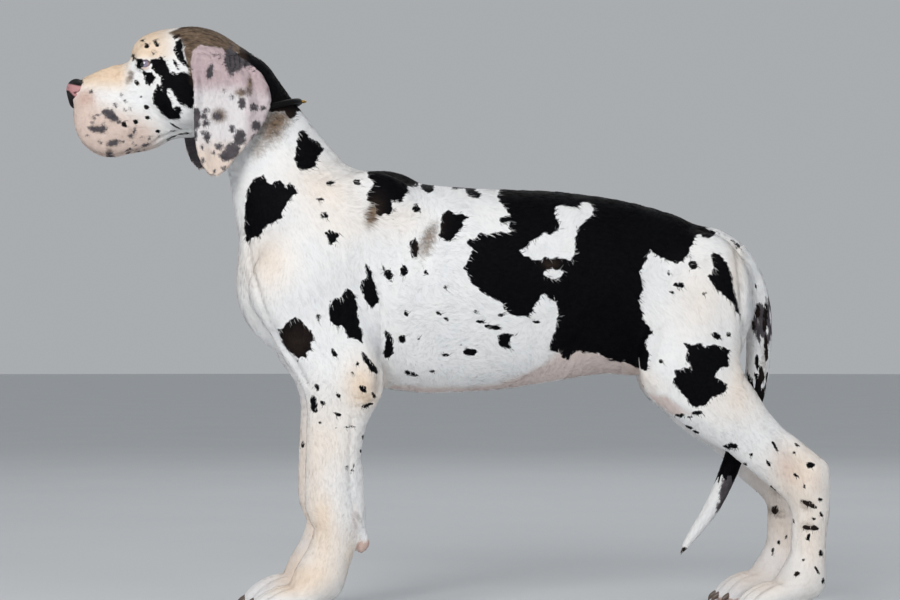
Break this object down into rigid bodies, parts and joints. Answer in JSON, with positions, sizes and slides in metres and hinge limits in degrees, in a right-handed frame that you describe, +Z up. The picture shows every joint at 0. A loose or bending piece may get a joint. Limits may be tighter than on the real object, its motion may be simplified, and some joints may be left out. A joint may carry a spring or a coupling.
{
  "type": "great dane puppy",
  "caption": "Life-size still model of a harlequin Great Dane puppy standing in profile in a show stance, with a thin leather slip collar.",
  "frame": {"origin": "on the floor under the middle of the bounding box", "axes": "-X towards the nose and +X towards the hocks, -Y to the dog's left, +Z up"},
  "size_m": [0.8702, 0.1996, 0.669],
  "materials": {
    "coat": "short fur, white with black and grey patches",
    "skin": "moist bare skin, pink with black",
    "eye": "wet and glossy",
    "leather": "smooth, slightly worn",
    "brass": "polished"
  },
  "bodies": {
    "root": {"head": "coat", "nose": "skin", "neck": "coat", "shoulder_left": "coat", "shoulder_right": "coat", "torso": "coat", "foreleg_left": "coat", "forepaw_left": "coat", "thigh_left": "coat", "shank_left": "coat", "hindpaw_left": "coat", "foreleg_right": "coat", "forepaw_right": "coat", "thigh_right": "coat", "shank_right": "coat", "hindpaw_right": "coat", "tail_root": "coat", "tail_tip": "coat", "eye_left": "eye", "eye_right": "eye", "collar": "leather", "collar_ring": "brass", "ear_left": "coat", "ear_right": "coat"}
  },
  "joints": []
}
